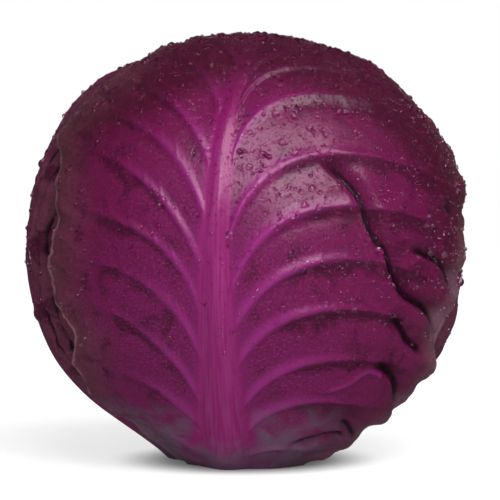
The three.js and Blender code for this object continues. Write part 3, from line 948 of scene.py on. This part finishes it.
        # deep is painted shade on the steep drop below each vein, which faces down, away from the light.
        deep = active * smoothstep(0.55, 0.92, part) * smoothstep(0.15, 0.45, w) * fade(0.6, 0.95, w)
        return {
            "x": x, "y": y, "waved": waved, "ribbed": np.zeros(x.shape),
            "thick": BLADE - (BLADE - self.edge_thickness) * bump_at(from_margin, 2.5),
            "outward": w * (1.0 if right else 0.6),
            "vein": np.maximum(tint, 0.5 * raised**4),
            "flank": bump_at(along, 5.0 + 6.0 * smoothstep(60, -60, y)) * fade(*self.flank_fades, y),
            "rib": bump_at(along, 2.6 + 2.4 * smoothstep(10, -90, y)) * self.rib_colour(y),
            "edge": bump_at(from_margin, self.edge_width), "hollow": hollow, "deep": deep / vein_spread**3,
            "pale": bump_at(from_margin, self.pale_width) * fade(-15, 60, y) * (0.75 if right else 0.4),
            "dry": 0.8 * bump_at(from_margin, self.dry_widths[0 if right else 1]),
            "along_x": t * 16.0, "along_y": side.value * along * 0.12,
        }

    def rib(self, t: Array) -> dict[str, Array]:
        """The midrib's inside columns.

        Args:
            t: the rows, as a column.

        Returns:
            Places, waves and masks on the grid. A mask that it leaves out is 0 there.
        """
        leaf = self.leaf
        share = np.linspace(0, 1, leaf.rib_columns + 1)[None, 1:-1]
        from_x, from_y = leaf.blade_point(Side.LEFT, t, np.zeros_like(t))
        to_x, to_y = leaf.blade_point(Side.RIGHT, t, np.zeros_like(t))
        x, y = from_x + (to_x - from_x) * share, from_y + (to_y - from_y) * share
        crown = 1 - (2 * share - 1) ** 2
        ribbed = leaf.rib_rise(y) * (0.25 * crown + 0.7 * crown**2) * (1 - 0.6 * smoothstep(35, 80, y))
        # Faint strings run up the rib.
        strings = self.string_height * np.sin(share * 23 + 0.02 * y) * crown * smoothstep(80, -60, y)
        return {
            "x": x, "y": y, "waved": self.swell(x, y), "ribbed": ribbed + strings,
            "thick": np.full(x.shape, BLADE), "flank": fade(*self.flank_fades, y), "rib": self.rib_colour(y),
            "along_x": (share - 0.5) * 12.0 + np.zeros(x.shape), "along_y": y * 0.04,
        }

    def grid(self) -> LeafGrid:
        """Lays the whole leaf, left margin to right margin, base to tip."""
        leaf = self.leaf
        t = np.linspace(0, leaf.last_row, leaf.last_row * leaf.rows_per_vein + 1)[:, None]
        left, middle, right = self.half(Side.LEFT, t), self.rib(t), self.half(Side.RIGHT, t)
        nothing = np.zeros(middle["x"].shape)
        sheet = {
            name: np.concatenate([left[name][:, ::-1], middle.get(name, nothing), right[name]], axis=1)
            for name in left
        }
        direction = leaf.wrap(sheet["x"], sheet["y"])
        seen = showing(self.above, direction)
        skin = HEAD.above_cut(direction, HEAD.skin(direction)) - sink_under(self.above, direction)
        gap = self.under_margins(direction)
        base = skin + seen * sheet["waved"] - self.gap_depth * gap
        outer = HEAD.above_cut(direction, base + seen * sheet["ribbed"])
        inner = lowest_nearby(np.minimum(base, outer), self.coarse) - sheet["thick"]
        points = HEAD.place(direction, outer)
        return LeafGrid(points, HEAD.place(direction, inner), self.masks(sheet, direction, points, gap))

    def masks(
        self, sheet: dict[str, Array], direction: Array, points: Array, gap: Array
    ) -> dict[str, Array]:
        """What the skin's material reads on each vertex.

        Args:
            sheet: the flat leaf's places, waves and masks.
            direction: the way to each place from the head's middle.
            points: the places on the head, in mm.
            gap: the shade beside the margins above.

        Returns:
            The masks by name.
        """
        leaf, x, y, pale = self.leaf, sheet["x"], sheet["y"], sheet["pale"]
        # Old margins are dull and dry, and so is an old leaf on the front of the head.
        dull = leaf.dullness * (1 - 0.75 * smoothstep(-0.25, 0.35, direction[..., 1]))
        dull = np.maximum(dull, sheet["dry"])
        masks = {name: sheet[name] * (1 - np.minimum(1.15 * dull, 1)) for name in ("vein", "flank", "rib")}
        # The blade is darkest far out and high up: partly its own darker outer blade, partly painted shade on
        # the head's top and rim, where less light falls.
        far = np.hypot(x, 0.9 * y)
        upper = np.where(x > 0, 0.25 + 0.8 * smoothstep(-50, 30, y), 0.2 + smoothstep(10, 90, y))
        outward = sheet["outward"] * (1 - 0.4 * smoothstep(10, -60, y))
        outward = np.maximum(outward, upper * smoothstep(32, 98, far))
        upper_left = fade(-40, 0, x) * smoothstep(-10, 45, y)
        # The wax is thickest round the foot, most of all on the left.
        low = fade(*self.wax_fades, points[..., 2]) * (1 - 0.55 * smoothstep(15, 50, x))
        foot = fade(*self.foot_fades, points[..., 2])
        level = np.zeros_like(x)
        return {
            **masks,
            "dull": dull,
            # Painted shade below each vein's step.
            "deep": sheet["deep"],
            # The painted highlight along the lit edge, with the margin's own pale band.
            "edge": np.maximum(sheet["edge"], 0.7 * pale),
            # Painted shade in the folds and beside the margins of the leaves above.
            "hollow": np.maximum(sheet["hollow"], 0.85 * gap),
            # Darker far out and high up: own tone with painted shade.
            "outward": outward + 0.3 * smoothstep(20, 75, y) + 0.25 * upper_left,
            "wax": np.maximum(low * (1 - 0.7 * sheet["rib"] * (1 - foot)) + 0.3 * (1 - low), pale),
            "flat_mm": np.stack([x, y, level], axis=-1),
            "along_mm": np.stack([sheet["along_x"], sheet["along_y"], level], axis=-1),
        }

    def under_margins(self, direction: Array) -> Array:
        """1 in the narrow shade just outside the margin of a leaf above, falling to 0 away from it."""
        shade = np.zeros(direction.shape[:-1])
        width = 1.6 + 2.8 * self.leaf.wrinkle * fade(-0.1, 0.3, direction[..., 1])
        for leaf in self.above:
            shade = np.maximum(shade, bump_at(leaf.beyond_outline(direction) - 0.2, width))
        return shade

    def build(self, material: Material) -> Item:
        """Makes the shell: a fine outer face, a coarser inner face, and the rim between them.

        Args:
            material: the leaf's finish.

        Returns:
            The piece.
        """
        grid = self.grid()
        high, wide = grid.outer.shape[:2]
        kept = np.ix_(np.arange(0, high, self.coarse), np.arange(0, wide, self.coarse))
        number = np.arange(high * wide).reshape(high, wide)
        under = number[kept]
        under = high * wide + np.arange(under.size).reshape(under.shape)
        faces = grid_faces(number).tolist()
        polygons = faces + grid_faces(under.T).tolist()
        rims = (
            (number[0], under[0]), (number[:, -1], under[:, -1]), (number[-1, ::-1], under[-1, ::-1]),
            (number[::-1, 0], under[::-1, 0]),
        )
        for fine, rough in rims:
            for i in range(len(rough) - 1):
                stretch = fine[i * self.coarse : (i + 1) * self.coarse + 1][::-1]
                polygons.append([int(rough[i]), int(rough[i + 1]), *map(int, stretch)])
        outside = grid.outer.reshape(-1, 3)
        masks = {}
        for name, values in grid.masks.items():
            shape = (-1, 3) if values.ndim > 2 else (-1,)
            masks[name] = np.concatenate([values.reshape(shape), values[kept].reshape(shape)])
        points = np.concatenate([outside, grid.inner[kept].reshape(-1, 3)])
        piece = mesh_object(self.leaf.name + "_skin", points, polygons, masks, material)
        self.outside = BVHTree.FromPolygons(outside.tolist(), faces)
        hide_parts(self.leaf.name)
        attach(piece, "root")
        return piece


@dataclass
class InnerHead:
    """The tight inner leaves, as one ball with the steps of their margins."""

    step: float = 1.1
    floor: float = 15.0
    around: int = 160
    upward: int = 90
    first_turn: float = 62 * DEGREE
    next_turn: float = 137 * DEGREE
    margin_rises: Zone = (-16, -8)
    margin_middle: float = -12.0
    margin_width: float = 3.0

    def build(self, leaves: list[Leaf], material: Material) -> Item:
        """Makes the ball.

        Args:
            leaves: the wrappers over it.
            material: its finish.

        Returns:
            The piece.
        """
        azimuth = np.linspace(0, 2 * math.pi, self.around, endpoint=False)[None, :]
        polar = np.linspace(0, math.pi, self.upward + 1)[1:-1, None]
        direction = np.stack([
            np.sin(polar) * np.sin(azimuth), -np.sin(polar) * np.cos(azimuth), -np.cos(polar) + 0 * azimuth
        ], axis=-1).reshape(-1, 3)
        direction = np.concatenate([[[0, 0, -1.0]], direction, [[0, 0, 1.0]]])
        radius = HEAD.skin(direction) - sink_under(leaves, direction) - self.step * 3
        margins = []
        # Three inner leaves, with the outlines of three of the wrappers, each turned about the stem.
        for i, number in enumerate((5, 2, 0)):
            turn = self.first_turn + i * self.next_turn
            cos, sin = math.cos(turn), math.sin(turn)
            spin = np.array([[cos, -sin, 0], [sin, cos, 0], [0, 0, 1]])
            beyond = leaves[number].beyond_outline(direction @ spin)
            radius = radius + self.step * fade(*self.margin_rises, beyond)
            margins.append(beyond - self.margin_middle)
        steps = bump_at(np.min(np.abs(margins), axis=0), self.margin_width)
        down = np.minimum(direction[:, 2], -1e-6)
        level = (HEAD.centre_height - self.floor) / -down
        radius = np.where(direction[:, 2] < 0, np.minimum(radius, level), radius)
        points = HEAD.place(direction, radius)
        rest = np.zeros(len(points))
        flat = points[:, [0, 2, 1]]
        masks = {
            "outward": rest + 0.2, "vein": 0.5 * steps, "edge": steps, "wax": rest + 0.4,
            "flat_mm": flat, "along_mm": flat * 0.2,
        }
        faces = turned_faces(self.upward - 1, self.around)
        piece = mesh_object("inner_head_skin", points, faces, masks, material)
        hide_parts("inner_head")
        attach(piece, "root")
        return piece


@dataclass
class CutStem:
    """The stem's stub: a knife-cut face, with rind round it. Its profile is (radius, height) pairs in mm."""

    around: int = 96
    profile: tuple[tuple[float, float], ...] = (
        (2.0, 0.06), (4.0, 0.0), (7.0, 0.05), (10.0, 0.0), (12.5, 0.06), (13.7, 0.1), (14.5, 0.35),
        (14.9, 0.8), (15.0, 1.4), (14.5, 3.2), (13.6, 5.6), (12.9, 7.6), (12.6, 9.6), (12.9, 12.0),
        (13.4, 14.2), (13.0, 14.7), (9.0, 14.7), (4.0, 14.7),
    )
    face_rings: int = 8
    dented_rings: range = range(6, 16)

    def build(self, material: Material) -> Item:
        """Makes the stub.

        Args:
            material: its finish.

        Returns:
            The piece.
        """
        azimuth = np.linspace(0, 2 * math.pi, self.around, endpoint=False)
        level = 0 * azimuth
        rows, rind = [[[0, 0, 0.05]]], [[0.0]]
        for i, (reach, rise) in enumerate(self.profile):
            dents = level
            if i in self.dented_rings:
                dents = np.abs(0.12 * np.sin(7 * azimuth + i) + 0.08 * np.sin(17 * azimuth))
            rows.append(np.stack([
                (reach - dents) * np.sin(azimuth), (dents - reach) * np.cos(azimuth), level + rise
            ], axis=-1))
            rind.append(level + (smoothstep(13.2, 14.6, reach) if i < self.face_rings else 1.0))
        points = np.concatenate([*rows, [[0, 0, self.profile[-1][1]]]])
        masks = {"rind": np.concatenate([*rind, [1.0]])}
        faces = turned_faces(len(self.profile), self.around)
        piece = mesh_object("cut_stem_skin", points, faces, masks, material)
        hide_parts("cut_stem")
        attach(piece, "root")
        return piece


@dataclass(frozen=True)
class BeadHabit:
    """How many beads of a kind there are, their facets, and their radii in mm."""

    count: int
    around: int
    rings: int
    middle: float
    spread: float
    least: float
    most: float


class BeadKind(Enum):
    """A kind of water bead, with its habit."""

    CROWN = BeadHabit(3400, 9, 3, 0.5, 0.34, 0.22, 1.1)
    SIDE = BeadHabit(3400, 9, 3, 0.45, 0.34, 0.2, 0.9)
    LARGE = BeadHabit(900, 14, 6, 0.95, 0.3, 0.65, 2.0)
    MIST = BeadHabit(2000, 6, 2, 0.33, 0.2, 0.24, 0.5)


@dataclass
class WaterBeads:
    """Water on the leaves: many fine beads on the crown, fewer and larger ones down the sides."""

    contact_angle: float = 84 * DEGREE
    foot_depth: float = 0.12
    sunk: float = 0.10
    start_mm: float = 120.0
    least_facing: float = 0.6
    seed: int = 41
    # Where the beads set in, in mm: up the sides, on the crown, on the right, at the front, and the mist.
    sides_wet: Zone = (34, 92)
    crown_wet: Zone = (95, 145)
    right_wet: Zone = (-30, 15)
    right_thins: Zone = (35, 65)
    front_wet: Zone = (30, -40)
    mist_wet: Zone = (-10, -50)

    def bead(self, around: int, rings: int) -> Array:
        """The points of a bead of radius 1 on the plane z = 0, from its foot just under it to its top."""
        polar = np.linspace(self.contact_angle, 0, rings + 1)[:-1]
        azimuth = np.linspace(0, 2 * math.pi, around, endpoint=False)
        centre = -math.cos(self.contact_angle)
        points = [(0.0, 0.0, -self.foot_depth)]
        for p in polar:
            reach, rise = math.sin(p), centre + math.cos(p)
            points += [(reach * math.cos(a), reach * math.sin(a), rise) for a in azimuth]
        points.append((0.0, 0.0, centre + 1.0))
        shape = np.array(points)
        shape[:, 2] -= self.sunk
        return shape

    def wanted(self, place: Vector, kind: BeadKind) -> float:
        """How likely a bead is at a place, from 0 to 1.

        Args:
            place: the place in mm.
            kind: the bead's kind.

        Returns:
            The likelihood.
        """
        height = smoothstep(*self.sides_wet, place.z)
        crown = smoothstep(*self.crown_wet, place.z)
        turned = smoothstep(*self.right_wet, place.x) - 0.75 * smoothstep(*self.right_thins, place.x)
        front = 0.35 + 0.65 * smoothstep(*self.front_wet, place.y)
        if kind is BeadKind.MIST:
            return height * smoothstep(*self.mist_wet, place.y) * (0.15 + 0.85 * turned)
        if kind is BeadKind.CROWN:
            return crown * front
        if kind is BeadKind.SIDE:
            return height * (0.25 + 0.75 * turned) * (1 - 0.5 * crown) * front
        return height * (0.2 + 0.6 * turned * (1 - 0.6 * crown) + 0.45 * crown) * front

    def scatter(self, surfaces: list[BVHTree], kind: BeadKind, draw: np.random.Generator) -> list[tuple]:
        """Finds places on the outside for beads.

        Args:
            surfaces: the leaves' outer faces.
            kind: the beads' kind.
            draw: the seeded draws.

        Returns:
            (place, normal, radius) of each.
        """
        found = []
        habit = kind.value
        middle = Vector((0, 0, HEAD.centre_height))
        while len(found) < habit.count:
            direction = Vector(draw.normal(size=3)).normalized()
            start = middle + direction * self.start_mm
            hits = [surface.ray_cast(start, -direction) for surface in surfaces]
            hits = [hit for hit in hits if hit[0] is not None]
            if not hits:
                continue
            place, normal, _, _ = min(hits, key=lambda hit: hit[3])
            if draw.random() > self.wanted(place, kind) or normal.dot(direction) < self.least_facing:
                continue
            radius = draw.lognormal(math.log(habit.middle), habit.spread)
            found.append((place, normal, float(np.clip(radius, habit.least, habit.most))))
        return found

    def build(self, surfaces: list[BVHTree], material: Material) -> list[Item]:
        """Makes the beads.

        Args:
            surfaces: the outer faces of the leaves that they lie on.
            material: their finish.

        Returns:
            One piece for each kind.
        """
        draw = np.random.default_rng(self.seed)
        pieces = []
        for kind in BeadKind:
            around, rings = kind.value.around, kind.value.rings
            shape, faces = self.bead(around, rings), turned_faces(rings, around)
            points, polygons = [], []
            for i, (place, normal, radius) in enumerate(self.scatter(surfaces, kind, draw)):
                turn = np.array(normal.to_track_quat("Z", "Y").to_matrix())
                points.append((shape * radius) @ turn.T + np.array(place))
                polygons += [[i * len(shape) + corner for corner in face] for face in faces]
            name = "water_beads_" + kind.name.lower()
            piece = mesh_object(name, np.concatenate(points), polygons, {}, material)
            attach(piece, "root")
            pieces.append(piece)
        return pieces


@dataclass
class Studio:
    """The white floor, the light and the camera. Lengths are in metres."""

    camera_elevation: float = 5.0
    camera_distance: float = 1.9
    sensor_mm: float = 36.0
    picture_px: float = 500.0
    head_px: float = 441.0
    head_mm: float = 160.4
    aim: tuple[float, float, float] = (0.00145, 0.0, 0.0765)
    light_aim: tuple[float, float, float] = (0.0, 0.0, 0.08)
    floor_radius: float = 0.75
    floor_sides: int = 96
    floor_height: float = -0.0002
    room_dark: float = 0.08
    room_light: float = 1.25
    ambient: float = 0.035
    behind_bead: float = 0.75

    def back_to(self, azimuth: float, elevation: float) -> Vector:
        """The way out from the head at an azimuth and elevation in degrees, with the camera's side at 0."""
        a, e = azimuth * DEGREE, elevation * DEGREE
        return Vector((math.sin(a) * math.cos(e), -math.cos(a) * math.cos(e), math.sin(e)))

    def build_floor(self) -> Item:
        """Lays the paper on the ground."""
        mesh = bpy.data.meshes.new("floor")
        turns = [2 * math.pi * i / self.floor_sides for i in range(self.floor_sides)]
        corners = [(self.floor_radius * math.cos(a), self.floor_radius * math.sin(a), 0) for a in turns]
        mesh.from_pydata(corners, [], [list(range(self.floor_sides))])
        mesh.materials.append(StudioPaper().build())
        floor = put_in_scene("floor", mesh)
        floor.location.z = self.floor_height
        floor.visible_glossy = False
        return floor

    def build_light(
        self, name: str, azimuth: float, elevation: float, distance: float, size: tuple[float, float],
        power: float,
    ) -> Item:
        """Hangs one softbox, turned to the head.

        Args:
            name: the light's name.
            azimuth: its side, in degrees to the right of the camera.
            elevation: its height, in degrees.
            distance: how far it hangs.
            size: its width and height.
            power: its power in watts.

        Returns:
            The light.
        """
        data = bpy.data.lights.new(name, "AREA")
        data.shape = "RECTANGLE"
        data.size, data.size_y = size
        data.energy = power
        light = put_in_scene(name, data)
        back = self.back_to(azimuth, elevation)
        light.location = Vector(self.light_aim) + back * distance
        light.rotation_mode = "QUATERNION"
        light.rotation_quaternion = back.to_track_quat("Z", "Y")
        return light

    def build_world(self) -> None:
        """Surrounds the stage with even white light."""
        world = bpy.data.worlds.new("studio_air")
        world.use_nodes = True
        tree = world.node_tree
        tree.nodes.clear()
        path = add_node(tree, "ShaderNodeLightPath").node.outputs
        # The room is lightest behind the camera, which fills the shades without a second shine.
        toward = add_node(tree, "ShaderNodeTexCoord", out="Generated")
        front = add_node(
            tree, "ShaderNodeVectorMath", {0: toward, 1: (0.0, -0.97, 0.24)}, "Value", operation="DOT_PRODUCT"
        )
        room = add_node(
            tree, "ShaderNodeMapRange",
            {"Value": front, "From Min": -0.3, "To Min": self.room_dark, "To Max": self.room_light},
            interpolation_type="SMOOTHSTEP",
        )
        glossy = path["Glossy Depth"]
        shone = add_node(tree, "ShaderNodeMath", {0: glossy, 1: 0.5}, operation="GREATER_THAN")
        strength = add_node(tree, "ShaderNodeMix", {0: shone, 2: room, 3: self.ambient})
        # The background is white through a bead too, where nothing else lies behind it.
        through = glossy
        for operation, second in (
            ("ADD", path["Diffuse Depth"]), ("LESS_THAN", 0.5), ("MULTIPLY", self.behind_bead),
            ("MAXIMUM", strength), ("MAXIMUM", path["Is Camera Ray"]),
        ):
            through = add_node(tree, "ShaderNodeMath", {0: through, 1: second}, operation=operation)
        inputs = {"Color": linear_colour("#ffffff"), "Strength": through}
        add_node(tree, "ShaderNodeOutputWorld", {"Surface": add_node(tree, "ShaderNodeBackground", inputs)})
        bpy.context.scene.world = world

    def build_camera(self) -> Item:
        """Sets the camera as the photograph was taken: level with the head, from far."""
        data = bpy.data.cameras.new("camera")
        data.sensor_width = self.sensor_mm
        share = self.head_px / self.picture_px
        data.lens = share * self.sensor_mm * self.camera_distance / (self.head_mm * MM)
        data.clip_start, data.clip_end = 0.05, 50.0
        camera = put_in_scene("camera", data)
        back = self.back_to(0, self.camera_elevation)
        camera.location = Vector(self.aim) + back * self.camera_distance
        camera.rotation_mode = "QUATERNION"
        camera.rotation_quaternion = (-back).to_track_quat("-Z", "Y")
        bpy.context.scene.camera = camera
        return camera

    def build(self) -> None:
        """Sets the whole stage."""
        self.build_floor()
        self.build_light("softbox_right", 27, 50, 1.3, (1.4, 0.95), 25.0)
        self.build_light("bare_bulb", 14, 38, 1.4, (0.09, 0.09), 1.6)
        self.build_world()
        self.build_camera()
        bpy.context.scene.view_settings.view_transform = "Standard"


def main() -> None:
    """Loads the frame, dresses every node, and sets the stage."""
    logging.basicConfig(level=logging.INFO)
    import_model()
    leaf_skin = WaxyLeafSkin().build()
    wrappers = [WrapperLeaf(leaf, LEAVES[:i]) for i, leaf in enumerate(LEAVES)]
    pieces = [wrapper.build(leaf_skin) for wrapper in wrappers]
    pieces.append(InnerHead().build(LEAVES, leaf_skin))
    pieces.append(CutStem().build(CutStemFlesh().build()))
    pieces += WaterBeads().build([wrapper.outside for wrapper in wrappers], Water().build())
    for piece in pieces:
        LOG.info("%s: %d faces", piece.name, len(piece.data.polygons))
    Studio().build()


if __name__ == "__main__":
    main()
